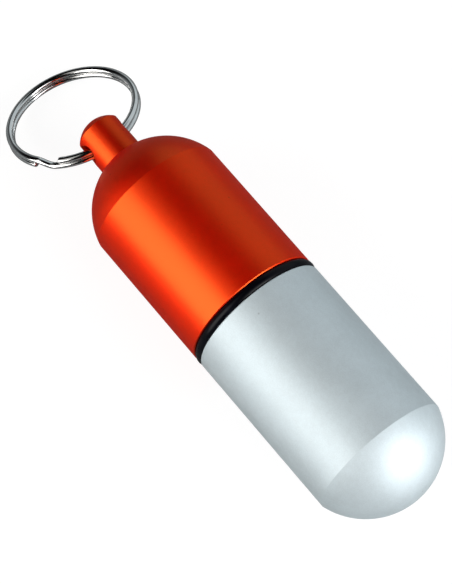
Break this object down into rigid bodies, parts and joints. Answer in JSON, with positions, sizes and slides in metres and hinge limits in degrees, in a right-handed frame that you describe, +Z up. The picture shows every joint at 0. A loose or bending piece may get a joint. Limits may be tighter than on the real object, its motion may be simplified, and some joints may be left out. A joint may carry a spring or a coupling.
{
  "type": "waterproof capsule",
  "caption": "Pill-shaped screw capsule with a rubber seal, a drilled neck and a split ring, to carry small dry goods on a key ring.",
  "frame": {"origin": "middle of the box round the whole object, on the surface it lies on", "axes": "+X along the capsule towards the split ring, the way the cap comes off; +Z up"},
  "size_m": [0.1078, 0.0262, 0.0262],
  "materials": {
    "shell_metal": "satin clear anodised",
    "cap_metal": "satin orange anodised",
    "seal_rubber": "smooth",
    "ring_steel": "nickel plated spring steel"
  },
  "bodies": {
    "shell": {"lower_shell": "shell_metal"},
    "seal": {"seal_ring": "seal_rubber"},
    "cap": {"cap": "cap_metal"},
    "ring": {"split_ring": "ring_steel"}
  },
  "joints": [
    {"name": "cap_turn", "type": "hinge", "parent": "shell", "child": "seal", "pos_m": [-0.01147, 0, 0.0131], "axis": [1, 0, 0], "range_deg": [0, 1440]},
    {"name": "cap_travel", "type": "slide", "parent": "seal", "child": "cap", "axis": [1, 0, 0], "range_m": [0, 0.006]},
    {"name": "ring_swing", "type": "hinge", "parent": "cap", "child": "ring", "pos_m": [0.03188, 0, 0.0131], "axis": [0, 1, 0], "range_deg": [-169, 115]}
  ],
  "couplings": [
    {"joint": "cap_travel", "follows": "cap_turn", "m_per_rad": 0.00023873}
  ]
}
